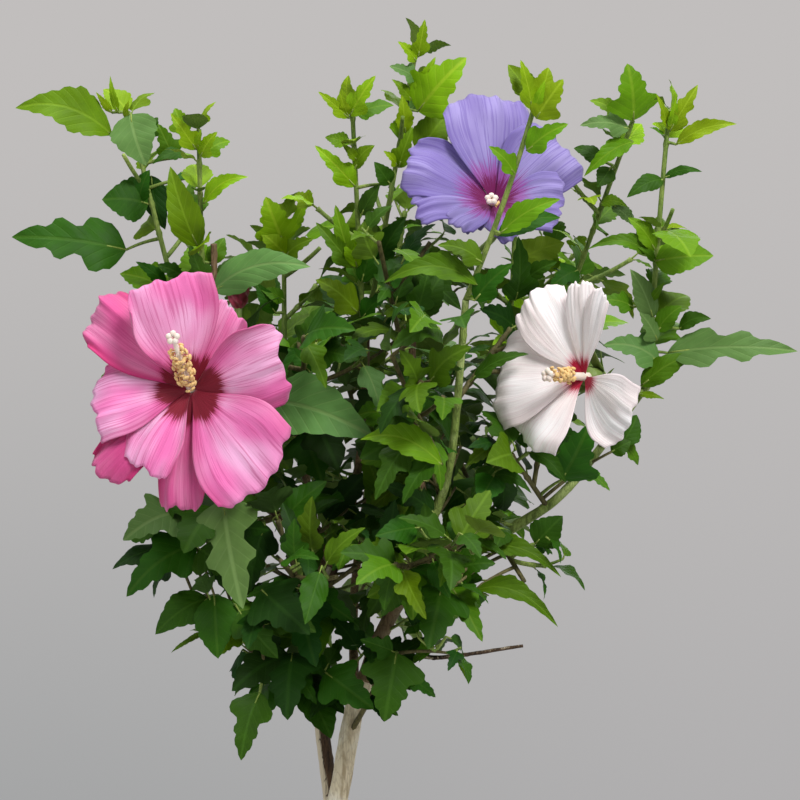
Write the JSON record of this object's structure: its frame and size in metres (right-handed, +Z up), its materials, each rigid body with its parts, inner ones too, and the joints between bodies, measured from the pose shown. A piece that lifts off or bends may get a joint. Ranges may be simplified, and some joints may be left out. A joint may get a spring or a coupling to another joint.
{
  "type": "potted hibiscus shrub",
  "caption": "Potted hibiscus shrub with crossing stems, upright leafy shoots and large blooms in pink, violet and white.",
  "frame": {"origin": "middle of the pot's flat underside", "axes": "+Z up along the pot's axis, -Y towards the shrub's front, +X to the right as seen from the front"},
  "size_m": [0.358, 0.2728, 0.605],
  "materials": {
    "pot_plastic": "matt moulded plastic",
    "compost": "crumbly moist compost",
    "bark_light": "dry tan bark",
    "bark_dark": "dark brown bark",
    "bark_green": "smooth green-grey young bark",
    "bark_brown": "brown bark",
    "leaves_young": "thin satin leaves",
    "leaves_old": "thin satin leaves",
    "petals_pink": "crinkled petals",
    "petals_violet": "crinkled petals",
    "petals_white": "crinkled petals",
    "petals_bud": "rolled petals"
  },
  "bodies": {
    "root": {"pot": "pot_plastic", "soil": "compost", "stem_light": "bark_light", "stem_dark": "bark_dark", "bough_right_low": "bark_brown", "bough_right_arch": "bark_green", "bough_left": "bark_brown", "bough_left_up": "bark_brown", "bough_mid": "bark_brown", "bough_centre": "bark_green", "bough_up": "bark_brown", "bough_back": "bark_brown", "bough_back_right": "bark_brown", "dead_twig": "bark_dark", "pruned_stub": "bark_light", "bloom_pink": "petals_pink", "bloom_violet": "petals_violet", "bloom_white": "petals_white", "bud_crimson": "petals_bud", "shoot_left_outer": "leaves_young", "shoot_left_inner": "leaves_young", "shoot_pale": "leaves_young", "shoot_tall_left": "leaves_young", "shoot_tall_mid": "leaves_young", "shoot_front": "leaves_young", "shoot_between": "leaves_young", "shoot_right_inner": "leaves_young", "shoot_right_outer": "leaves_young", "leaves_left_low": "leaves_old", "leaves_low_left": "leaves_old", "leaves_low_centre": "leaves_old", "leaves_low_right": "leaves_old", "leaves_mid_right": "leaves_old", "leaves_centre_left": "leaves_old", "leaves_centre": "leaves_old", "leaves_centre_right": "leaves_old", "leaves_centre_low": "leaves_old", "leaves_inner_left": "leaves_old", "leaves_centre_upper": "leaves_old", "leaves_back_left": "leaves_old", "leaves_back_centre": "leaves_old", "leaves_back_right": "leaves_old", "leaves_back_low": "leaves_old", "shoot_back_left": "leaves_young", "shoot_back_mid": "leaves_young", "shoot_back_right": "leaves_young"}
  },
  "joints": []
}
